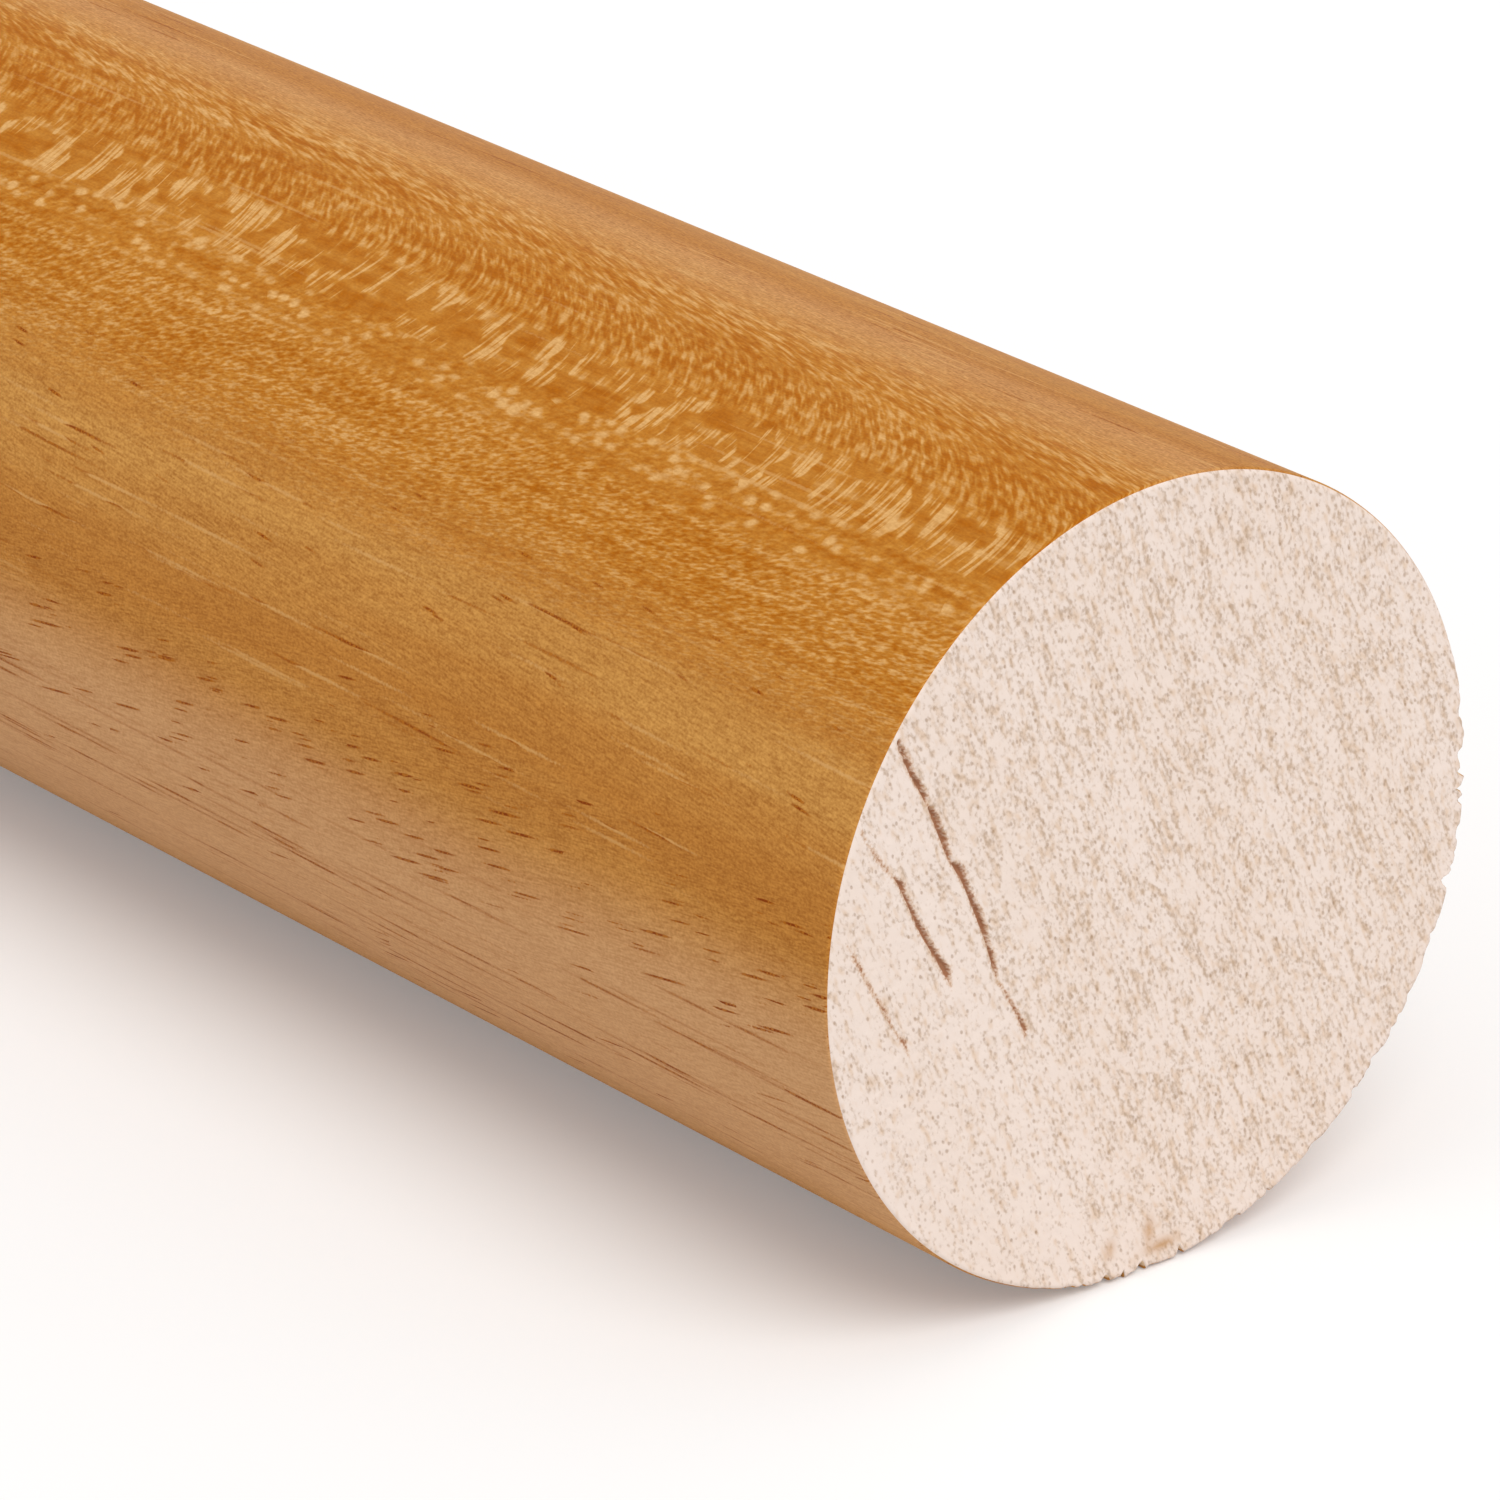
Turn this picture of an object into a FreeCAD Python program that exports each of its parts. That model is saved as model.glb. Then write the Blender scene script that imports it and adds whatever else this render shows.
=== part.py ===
"""Full-round timber stair handrail, one stock length, lying along X on a level floor.

The rail is one piece of timber, moulded to a round section and cross-cut square. The sharp
edge that the saw leaves round each end is eased with a small chamfer. Sizes are millimetres,
+Z is up, and the origin is on the floor, under the axis and midway along the rail.
"""
import FreeCAD, Part
import os

# Driving dimensions
RAIL_DIAMETER = 45.0  # full-round section, sized for a hand to close round it
RAIL_LENGTH = 1500.0  # stock length, from one sawn end to the other
ARRIS_CHAMFER = 0.3  # eased edge round each sawn end, measured along the axis and across it

PARTS_FOLDER = "parts"


def round_section(diameter):
    """Returns the round face square to X whose lowest point is at the origin."""
    radius = diameter / 2
    centre = FreeCAD.Vector(0, 0, radius)
    along_rail = FreeCAD.Vector(1, 0, 0)
    circle = Part.Circle(centre, along_rail, radius)
    return Part.Face(Part.Wire(circle.toShape()))


def sawn_edges(blank):
    """Returns the two circular edges where the saw cut a blank to length."""
    return [edge for edge in blank.Edges if isinstance(edge.Curve, Part.Circle)]


def round_handrail():
    """Returns the rail: its section run the whole length, then eased round both ends."""
    section = round_section(RAIL_DIAMETER)
    section.translate(FreeCAD.Vector(-RAIL_LENGTH / 2, 0, 0))
    blank = section.extrude(FreeCAD.Vector(RAIL_LENGTH, 0, 0))
    return blank.makeChamfer(ARRIS_CHAMFER, sawn_edges(blank))


os.makedirs(PARTS_FOLDER, exist_ok=True)
round_handrail().exportStep(f"{PARTS_FOLDER}/round_handrail.step")
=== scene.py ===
"""Looks of a full-round stair handrail: one lacquered hardwood length with bare sawn ends.

The rail lies along X on a level floor, as the CAD rail does, and one closed mesh stands for it.
Its timber has fine rays, which show as a band of flecks where the round surface cuts along them.
The grain crosses the rail at a slight slope, so the flecks fan out on both sides of that band.
The sawn ends are bare and pale. The photographed one has drying splits, a few stains, and chips
along its lower edge.
"""

import logging
import math
from dataclasses import dataclass, field
from enum import Enum

import bpy
import numpy as np
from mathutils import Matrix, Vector


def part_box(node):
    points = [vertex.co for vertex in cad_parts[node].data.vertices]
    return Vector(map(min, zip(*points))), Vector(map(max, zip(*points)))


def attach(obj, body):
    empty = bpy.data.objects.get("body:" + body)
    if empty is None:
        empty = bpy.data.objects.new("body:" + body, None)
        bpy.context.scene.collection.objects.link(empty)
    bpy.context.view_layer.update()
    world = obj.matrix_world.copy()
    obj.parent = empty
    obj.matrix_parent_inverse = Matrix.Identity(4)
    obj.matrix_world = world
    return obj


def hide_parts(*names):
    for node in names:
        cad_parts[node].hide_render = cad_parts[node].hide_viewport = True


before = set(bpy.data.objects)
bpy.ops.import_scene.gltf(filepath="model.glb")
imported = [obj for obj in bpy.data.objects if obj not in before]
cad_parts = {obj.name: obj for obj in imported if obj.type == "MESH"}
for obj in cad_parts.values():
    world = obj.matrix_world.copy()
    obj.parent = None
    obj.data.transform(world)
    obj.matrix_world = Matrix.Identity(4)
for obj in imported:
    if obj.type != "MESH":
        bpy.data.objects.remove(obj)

LOG = logging.getLogger("handrail")
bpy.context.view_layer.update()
MM = 0.001
PER_MM = 1 / MM
WHITE = (1.0, 1.0, 1.0, 1.0)
LATTICE_SIDE = 128
FINE_STEPS = 4000

Array = np.ndarray
Socket = bpy.types.NodeSocket
Cell = tuple[float, float, float]
Grade = tuple[float, ...]


def smooth_step(value: Array, low: float, high: float) -> Array:
    """Returns 0 below low, 1 above high and a smooth S-curve between them.

    Args:
        value: Numbers to grade.
        low: Where the curve leaves 0.
        high: Where the curve reaches 1.

    Returns:
        The grades, 3 s^2 - 2 s^3 with s the share of the way from low to high.
    """
    share = np.clip((value - low) / (high - low), 0.0, 1.0)
    return share * share * (3 - 2 * share)


def lattice_noise(across: Array, along: Array, cell: float, seed: int) -> Array:
    """Returns smooth noise from -1 to 1 over a plane.

    Random values stand on the corners of a square lattice that repeats, and a point takes the
    mean of its cell's four corners, weighted by smooth steps of its place in the cell.

    Args:
        across: First coordinate of each point.
        along: Second coordinate of each point.
        cell: Side of a lattice cell, in the unit of the coordinates.
        seed: Seed of the random values.

    Returns:
        One value for each point.
    """
    corners = np.random.default_rng(seed).uniform(-1.0, 1.0, (LATTICE_SIDE, LATTICE_SIDE))
    column = np.floor(across / cell).astype(int)
    row = np.floor(along / cell).astype(int)
    right = smooth_step(across / cell - column, 0.0, 1.0)
    upper = smooth_step(along / cell - row, 0.0, 1.0)
    column, next_column = column % LATTICE_SIDE, (column + 1) % LATTICE_SIDE
    row, next_row = row % LATTICE_SIDE, (row + 1) % LATTICE_SIDE
    below = corners[column, row] * (1 - right) + corners[next_column, row] * right
    above = corners[column, next_row] * (1 - right) + corners[next_column, next_row] * right
    return below * (1 - upper) + above * upper


@dataclass(frozen=True)
class Tone:
    """A colour as the eye reads it on a screen, each part from 0 to 255."""

    red: int
    green: int
    blue: int

    def linear(self) -> tuple[float, float, float, float]:
        """Returns the tone as the linear colour that a node takes, by the standard curve of screens."""
        parts = np.array((self.red, self.green, self.blue)) / 255
        curve = np.where(parts > 0.04045, ((parts + 0.055) / 1.055) ** 2.4, parts / 12.92)
        return (*(float(part) for part in curve), 1.0)


class RailEnd(Enum):
    """The rail's two sawn ends, by the side of X that each faces."""

    PHOTOGRAPHED = 1
    HIDDEN = -1


class RailSkin(Enum):
    """The rail's two kinds of surface, by their material slot in its mesh."""

    LACQUERED = 0
    SAWN = 1


class Mark(Enum):
    """The marks that the mesh's vertices carry for its finishes, by their attribute's name."""

    SPLIT = "split"
    STAIN = "stain"
    CHIP = "chip"


class Signal:
    """A value that nodes work out at each point, and that takes part in plain arithmetic."""

    def __init__(self, sheet: "NodeSheet", socket: Socket) -> None:
        """Stands for an output socket among a sheet's nodes."""
        self.sheet = sheet
        self.socket = socket

    def __add__(self, other: "Source") -> "Signal":
        """Returns the sum."""
        return self.sheet.math("ADD", self, other)

    def __sub__(self, other: "Source") -> "Signal":
        """Returns the difference."""
        return self.sheet.math("SUBTRACT", self, other)

    def __mul__(self, other: "Source") -> "Signal":
        """Returns the product."""
        return self.sheet.math("MULTIPLY", self, other)

    def __abs__(self) -> "Signal":
        """Returns the value without its sign."""
        return self.sheet.math("ABSOLUTE", self)

    def above(self, limit: "Source") -> "Signal":
        """Returns 1 above a limit and 0 elsewhere."""
        return self.sheet.math("GREATER_THAN", self, limit)

    def most(self, other: "Source") -> "Signal":
        """Returns the greater of two values."""
        return self.sheet.math("MAXIMUM", self, other)

    def blend(self, share: "Source", other: "Source") -> "Signal":
        """Returns a value that goes from this one to another by a share."""
        return self.sheet.math("MULTIPLY_ADD", share, self.sheet.math("SUBTRACT", other, self), self)

    def grade(self, low: "Source", high: "Source", start: float = 0.0, end: float = 1.0) -> "Signal":
        """Returns a smooth step of the value.

        Args:
            low: Value that gives start.
            high: Value that gives end.
            start: Result below low.
            end: Result above high.

        Returns:
            The graded value.
        """
        inputs = {"Value": self, "From Min": low, "From Max": high, "To Min": start, "To Max": end}
        return self.sheet.out("ShaderNodeMapRange", "Result", inputs, interpolation_type="SMOOTHSTEP")


Source = Signal | Socket | Tone | float | tuple[float, ...]


@dataclass(frozen=True)
class Layer:
    """A layer of noise in the timber.

    Attributes:
        cell: Size of a feature along the rail, the rays and the growth bands, in millimetres.
        grade: Its low and high noise, and the results there where they aren't 0 and 1.
    """

    cell: Cell
    grade: Grade


class NodeSheet:
    """A node tree with short calls that add a node, wire it and hand back its output."""

    def __init__(self, tree: bpy.types.NodeTree) -> None:
        """Starts on a tree, keeping the nodes that it has."""
        self.tree = tree

    def feed(self, socket: Socket, source: Source) -> None:
        """Links a signal or socket to an input, or sets a plain value or tone on it."""
        if isinstance(source, Signal):
            source = source.socket
        if isinstance(source, Socket):
            self.tree.links.new(source, socket)
        else:
            socket.default_value = source.linear() if isinstance(source, Tone) else source

    def add(self, kind: str, inputs: dict[str | int, Source], **settings: object) -> bpy.types.Node:
        """Adds a node.

        Args:
            kind: The node's type.
            inputs: A source for each input to set, by the input's name or number.
            settings: The node's own properties.

        Returns:
            The node.
        """
        node = self.tree.nodes.new(kind)
        for name, setting in settings.items():
            setattr(node, name, setting)
        for key, source in inputs.items():
            self.feed(node.inputs[key], source)
        return node

    def out(
        self, kind: str, output: str | int, inputs: dict[str | int, Source], **settings: object
    ) -> Signal:
        """Adds a node as add does, and returns one of its outputs by its name or number."""
        return Signal(self, self.add(kind, inputs, **settings).outputs[output])

    def math(self, operation: str, *terms: Source) -> Signal:
        """Returns the result of a Math node on up to three terms."""
        return self.out("ShaderNodeMath", 0, dict(enumerate(terms)), operation=operation)

    def point(self, x: Source, y: Source, z: Source) -> Signal:
        """Returns a vector made of three values."""
        return self.out("ShaderNodeCombineXYZ", "Vector", {"X": x, "Y": y, "Z": z})

    def parts(self, vector: Source) -> tuple[Signal, ...]:
        """Returns a vector's three values."""
        node = self.add("ShaderNodeSeparateXYZ", {"Vector": vector})
        return tuple(Signal(self, output) for output in node.outputs)

    def arrow(self, operation: str, first: Source, second: Source) -> Signal:
        """Returns the result of a Vector Math node on two vectors."""
        return self.out("ShaderNodeVectorMath", "Vector", {0: first, 1: second}, operation=operation)

    def in_cells(self, vector: Source, cell: Cell) -> Signal:
        """Returns a place measured in cells of a given size along each axis."""
        return self.arrow("MULTIPLY", vector, tuple(1 / side for side in cell))

    def noise(self, vector: Source, cell: Cell, detail: float = 1.0, output: str = "Fac") -> Signal:
        """Returns noise whose features have a given size along each axis.

        Args:
            vector: Place in the timber, in millimetres.
            cell: Size of a feature along each axis, in millimetres.
            detail: Number of finer layers.
            output: Name of the noise's output, Fac or Color.

        Returns:
            The noise, about 0.5 on average.
        """
        inputs = {"Vector": self.in_cells(vector, cell), "Scale": 1.0, "Detail": detail}
        return self.out("ShaderNodeTexNoise", output, inputs)

    def layer(self, vector: Source, layer: Layer) -> Signal:
        """Returns a layer's noise, graded."""
        return self.noise(vector, layer.cell).grade(*layer.grade)

    def cells(self, vector: Source, cell: Cell) -> tuple[Signal, Signal, Signal]:
        """Returns the distance from the middle of irregular cells, and two random values of each cell."""
        node = self.add("ShaderNodeTexVoronoi", {"Vector": self.in_cells(vector, cell), "Scale": 1.0})
        chance, other, _ = self.parts(node.outputs["Color"])
        return Signal(self, node.outputs["Distance"]), chance, other

    def sloped(self, grain: Source, slope: float) -> Signal:
        """Returns a place in the timber with its sideways distance drifting by one in a slope's length."""
        along, radial, tangential = self.parts(grain)
        return self.point(along, radial, along * (1 / slope) + tangential)

    def mark(self, mark: Mark) -> Signal:
        """Returns a mark that the mesh's vertices carry."""
        return self.out("ShaderNodeAttribute", "Fac", {}, attribute_name=mark.value)

    def mix(self, share: Source, first: Source, second: Source, blend: str = "MIX") -> Signal:
        """Returns the second colour laid over the first by a share."""
        # The node's colour sockets share their names with others, so they go by number
        inputs = {0: share, 6: first, 7: second}
        return self.out("ShaderNodeMix", 2, inputs, data_type="RGBA", blend_type=blend)

    def ramp(self, value: Source, tones: tuple[Tone, ...]) -> Signal:
        """Returns a colour that runs evenly through some tones as a value goes from 0 to 1."""
        node = self.add("ShaderNodeValToRGB", {"Fac": value})
        stops = node.color_ramp.elements
        for number in range(1, len(tones) - 1):
            stops.new(number / (len(tones) - 1))
        for stop, tone in zip(stops, tones):
            stop.color = tone.linear()
        return Signal(self, node.outputs["Color"])


def start_material(name: str) -> tuple[bpy.types.Material, NodeSheet, bpy.types.Node]:
    """Returns a new material, its nodes and its shader."""
    material = bpy.data.materials.new(name)
    material.use_nodes = True
    return material, NodeSheet(material.node_tree), material.node_tree.nodes["Principled BSDF"]


@dataclass(frozen=True)
class Timber:
    """How the tree's grain lies in the rail.

    Attributes:
        radial_angle: Direction of the rays in the rail's section, from +Y towards +Z.
        ring_width: Distance from one growth band to the next.
        ring_offset: Distance of one band's darkest line from the axis, along the rays.
        ring_bend: How far a band bends along the rays, for the square of the distance across them.
        ring_cell: Size of the bands' unevenness along each axis, in millimetres.
        ring_spread: Range of that unevenness, in millimetres.
        cross_slope: Distance along the rail in which the grain of the fleck band drifts sideways by one.
        steep_slope: The same for steep grain.
        even_slope: The same for the grain of the fine dashes.
        counter_slope: The same for grain that drifts the other way.
        vessel_slope: The same for the long vessels, which also drift the other way.
        wander: Range of the grain's drift from its straight line, in millimetres.
        wander_cell: Size of that drift along each axis, in millimetres.
    """

    radial_angle: float = math.radians(25.0)
    ring_width: float = 10.8 * MM
    ring_offset: float = 4.3 * MM
    ring_bend: float = 0.004
    ring_cell: Cell = (60.0, 2.2, 2.2)
    ring_spread: float = 8.0
    cross_slope: float = 3.0
    steep_slope: float = 6.0
    even_slope: float = 11.0
    counter_slope: float = -7.0
    vessel_slope: float = -55.0
    wander: float = 1.2
    wander_cell: Cell = (35.0, 14.0, 14.0)

    def section_point(self, radial: Array, tangential: Array) -> tuple[Array, Array]:
        """Returns Y and the height above the axis of points given along and across the rays."""
        cosine, sine = math.cos(self.radial_angle), math.sin(self.radial_angle)
        return radial * cosine - tangential * sine, radial * sine + tangential * cosine

    def grain_group(self, length: float, radius: float) -> bpy.types.NodeTree:
        """Makes the node group that turns a place on the rail into a place in the timber.

        The place is turned until Y lies along the rays and Z along the growth bands, measured in
        millimetres from the axis, with X the distance from the photographed end. Slow noise then
        makes the grain wander. The bands are a cosine of the distance along the rays, bent a
        little because growth rings are round.

        Args:
            length: The rail's length, in metres.
            radius: The rail's radius, in metres.

        Returns:
            A group from Position to Grain, a vector, and Bands, from 0 to 1.
        """
        tree = bpy.data.node_groups.new("timber_grain", "ShaderNodeTree")
        tree.interface.new_socket("Position", in_out="INPUT", socket_type="NodeSocketVector")
        tree.interface.new_socket("Grain", in_out="OUTPUT", socket_type="NodeSocketVector")
        tree.interface.new_socket("Bands", in_out="OUTPUT", socket_type="NodeSocketFloat")
        sheet = NodeSheet(tree)
        centre = (
            length / 2 * PER_MM,
            -radius * PER_MM * math.sin(self.radial_angle),
            -radius * PER_MM * math.cos(self.radial_angle),
        )
        mapping = {
            "Vector": sheet.out("NodeGroupInput", "Position", {}),
            "Location": centre,
            "Rotation": (-self.radial_angle, 0.0, 0.0),
            "Scale": (-PER_MM, PER_MM, PER_MM),
        }
        straight = sheet.out("ShaderNodeMapping", "Vector", mapping)
        drift = sheet.noise(straight, self.wander_cell, output="Color")
        drift = sheet.arrow("SUBTRACT", drift, (0.5, 0.5, 0.5))
        drift = sheet.arrow("MULTIPLY", drift, (0.0, self.wander, self.wander))
        grain = sheet.arrow("ADD", straight, drift)
        _, radial, tangential = sheet.parts(grain)
        depth = radial + tangential * tangential * self.ring_bend
        uneven = sheet.noise(grain, self.ring_cell, detail=2.0)
        depth = depth + (uneven - 0.5) * self.ring_spread
        turn = 2 * math.pi / (self.ring_width * PER_MM)
        phase = (depth - self.ring_offset * PER_MM) * turn
        bands = sheet.math("COSINE", phase) * 0.5 + 0.5
        sheet.add("NodeGroupOutput", {"Grain": grain, "Bands": bands})
        return tree


def timber_place(sheet: NodeSheet, grain_group: bpy.types.NodeTree) -> tuple[Signal, Signal]:
    """Returns each point's place in the timber and how far it is in a growth band."""
    position = sheet.out("ShaderNodeTexCoord", "Object", {})
    place = sheet.add("ShaderNodeGroup", {"Position": position}, node_tree=grain_group)
    return Signal(sheet, place.outputs["Grain"]), Signal(sheet, place.outputs["Bands"])


@dataclass(frozen=True)
class RayFlecks:
    """The flecks that rays make where the side cuts along them.

    Lines across the rail make strokes, in groups, along the middle of the fleck band. Knots and then
    fainter ones take over on one side, and blots with pale spots and then fine dashes on the other,
    each in its zone. Heights say how much paler something is. Edges, chances and zones are grades,
    and zones are measured from the axis along the rays, in millimetres.
    """

    lines: Cell = (4.0, 3.0, 0.088)
    line_edges: Grade = (0.42, 0.62)
    bold_edges: Grade = (0.67, 0.77)
    groups: Layer = Layer((2.2, 2.4, 0.7), (0.46, 0.57))
    group_share: float = 0.2
    stroke_height: float = 0.8
    ground: Layer = Layer((2.4, 1.1, 0.5), (0.3, 0.7, 0.12, 0.4))
    knots: Layer = Layer((1.0, 1.2, 0.075), (0.25, 0.75, -0.1, 0.78))
    faint: Layer = Layer((1.6, 0.6, 0.08), (0.25, 0.75, 0.05, 0.9))
    spots: Cell = (1.1, 0.8, 4.0)
    spot_edges: Grade = (0.65, 0.05)
    spot_chance: Grade = (0.0, 0.7)
    spot_height: float = 0.75
    blots: Layer = Layer((0.8, 0.5, 0.06), (0.24, 0.76, 0.15, 0.6))
    dashes: Layer = Layer((0.58, 0.75, 0.058), (0.24, 0.76, 0.06, 0.84))
    rows: Cell = (14.0, 0.8, 0.5)
    row_height: float = 1.1
    knot_zone: Grade = (1.2, 2.2)
    faint_zone: Grade = (4.5, 7.5)
    blot_zone: Grade = (-1.6, -2.4)
    dash_zone: Grade = (-3.8, -5.2)
    fade_zones: tuple[Grade, Grade] = ((13.0, 7.0), (-14.0, -7.5))

    def paint(self, sheet: NodeSheet, timber: Timber, grain: Signal) -> tuple[Signal, Signal]:
        """Adds the nodes of the flecks.

        Rays are thin sheets that hold the radial direction and follow the sloping grain, so each
        kind is noise of the sideways distance plus the distance along divided by a slope. Noise
        drawn out along the rail sets all of them in rows.

        Args:
            sheet: The material's nodes.
            timber: How the grain lies.
            grain: Place in the timber.

        Returns:
            How pale each point is, from ray to fibre, and how far the flecks show there.
        """
        _, radial, _ = sheet.parts(grain)
        steep = sheet.sloped(grain, timber.steep_slope)
        even = sheet.sloped(grain, timber.even_slope)
        cross = sheet.sloped(grain, timber.cross_slope)
        lines = sheet.noise(cross, self.lines)
        groups = sheet.layer(cross, self.groups)
        strokes = (lines.grade(*self.line_edges) * groups).most(lines.grade(*self.bold_edges))
        strokes = groups * self.group_share + strokes * (1 - self.group_share)
        strokes = strokes * self.stroke_height + sheet.layer(cross, self.ground)
        distance, chance, _ = sheet.cells(even, self.spots)
        spots = distance.grade(*self.spot_edges) * chance.grade(*self.spot_chance)
        blots = spots * self.spot_height + sheet.layer(even, self.blots)
        tone = strokes.blend(radial.grade(*self.knot_zone), sheet.layer(steep, self.knots))
        tone = tone.blend(radial.grade(*self.faint_zone), sheet.layer(even, self.faint))
        tone = tone.blend(radial.grade(*self.blot_zone), blots)
        tone = tone.blend(radial.grade(*self.dash_zone), sheet.layer(even, self.dashes))
        rows = sheet.noise(grain, self.rows, detail=2.0) - 0.5
        first, second = (radial.grade(*zone) for zone in self.fade_zones)
        return rows * self.row_height + tone, first * second


@dataclass(frozen=True)
class Vessels:
    """The wood's vessels, which the side cuts open along their length.

    Pores are short, open and dark, and crowd together beside the face that runs along the growth
    bands. Long lines are open on that face, and some are closed and pale in the fleck band. Between
    pores and flecks drawn vessels drift the other way, open in some stretches and closed in others,
    with a few short open ones among them. Edges and zones are grades, and zones are measured from
    the axis along the growth bands, in millimetres, or along the rays. The crowds and the near and
    far zones give the share of the pores that is left out.
    """

    beads: Cell = (0.17, 0.2, 0.2)
    raggedness: float = 0.4
    bead_edges: Grade = (0.40, 0.56, 0.0, 0.9)
    pores: Cell = (7.0, 0.31, 0.31)
    girths: tuple[float, float] = (0.16, 0.40)
    crowds: Layer = Layer((9.0, 1.4, 1.4), (0.38, 0.62, 0.6, -0.3))
    near_zone: Grade = (3.5, 6.5, 0.85, 0.0)
    far_zone: Grade = (10.5, 15.0, 0.15, 1.4)
    lines: Cell = (22.0, 0.4, 0.4)
    line_edges: Grade = (0.40, 0.12)
    face_zone: Grade = (8.0, 4.0, 0.0, 0.9)
    band_zone: Grade = (21.4, 21.9, 0.0, 0.6)
    band_chance: float = 0.8
    stretches: Layer = Layer((5.0, 0.7, 0.7), (0.52, 0.58))
    stretch_share: float = 0.6
    drawn: Cell = (20.0, 0.5, 0.5)
    drawn_edges: Grade = (0.31, 0.05)
    drawn_zones: tuple[Grade, Grade] = ((9.0, 13.0), (20.5, 18.5))
    few: Cell = (5.0, 0.4, 0.4)
    few_edges: Grade = (0.32, 0.1)
    few_chance: float = 0.86
    few_ray_zone: Grade = (-8.0, -11.0)
    few_zone: Grade = (15.0, 17.0)

    def paint(self, sheet: NodeSheet, timber: Timber, grain: Signal) -> tuple[Signal, Signal, Signal]:
        """Adds the nodes of the vessels.

        Vessels are long thin cells along the grain, ragged and broken into beads by fine noise.

        Args:
            sheet: The material's nodes.
            timber: How the grain lies.
            grain: Place in the timber.

        Returns:
            How far each point is in an open vessel, in one of its dark beads, and in a pale
            closed vessel, from 0 to 1.
        """
        _, radial, tangential = sheet.parts(grain)
        across = abs(tangential)
        beads = sheet.noise(grain, self.beads)
        ragged = (beads - 0.5) * self.raggedness
        stretch = sheet.layer(grain, self.stretches)
        distance, chance, girth = sheet.cells(sheet.sloped(grain, timber.steep_slope), self.pores)
        girth = girth.grade(0.0, 1.0, *self.girths)
        left_out = tangential.grade(*self.near_zone) + across.grade(*self.far_zone)
        left_out = sheet.layer(grain, self.crowds) + left_out
        pores = (distance + ragged).grade(girth, girth * 0.5) * chance.above(left_out)
        distance, chance, _ = sheet.cells(grain, self.lines)
        lines = (distance + ragged).grade(*self.line_edges)
        on_face = lines * across.grade(*self.face_zone)
        on_face = on_face * (stretch * self.stretch_share + (1 - self.stretch_share))
        in_band = lines * chance.above(self.band_chance) * across.grade(*self.band_zone)
        distance, _, _ = sheet.cells(sheet.sloped(grain, timber.vessel_slope), self.drawn)
        drawn = (distance + ragged).grade(*self.drawn_edges)
        for zone in self.drawn_zones:
            drawn = drawn * across.grade(*zone)
        distance, chance, _ = sheet.cells(sheet.sloped(grain, timber.counter_slope), self.few)
        few = (distance + ragged).grade(*self.few_edges) * chance.above(self.few_chance)
        few = few * radial.grade(*self.few_ray_zone) * across.grade(*self.few_zone)
        drawn_open = drawn * stretch
        opened = pores.most(on_face).most(drawn_open).most(few)
        return opened, opened * beads.grade(*self.bead_edges), (drawn - drawn_open).most(in_band)


@dataclass(frozen=True)
class FineFibres:
    """Specks, fine fibres and broad clouds, which lighten and darken the side a little.

    Fibres follow the steep grain, and in the counter zones, along the growth bands and along the
    rays, they drift the other way.
    """

    stipple: Layer = Layer((0.2, 0.15, 0.15), (0.2, 0.8, -0.18, 0.26))
    steep: Cell = (1.4, 0.11, 0.11)
    counter: Cell = (1.2, 0.14, 0.14)
    fibres: Grade = (0.25, 0.75, -0.16, 0.2)
    counter_zone: Grade = (12.0, 16.0)
    counter_ray_zone: Grade = (2.0, -2.0)
    clouds: Layer = Layer((12.0, 1.5, 1.5), (0.25, 0.75, 0.95, 1.05))

    def paint(self, sheet: NodeSheet, timber: Timber, grain: Signal) -> Signal:
        """Adds the nodes of the fibres and returns how bright each point is, about 1 on average."""
        _, radial, tangential = sheet.parts(grain)
        steep = sheet.noise(sheet.sloped(grain, timber.steep_slope), self.steep)
        counter = sheet.noise(sheet.sloped(grain, timber.counter_slope), self.counter)
        beside = tangential.grade(*self.counter_zone) * radial.grade(*self.counter_ray_zone)
        fibres = steep.blend(beside, counter).grade(*self.fibres)
        return sheet.layer(grain, self.stipple) + fibres + sheet.layer(grain, self.clouds)


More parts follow.
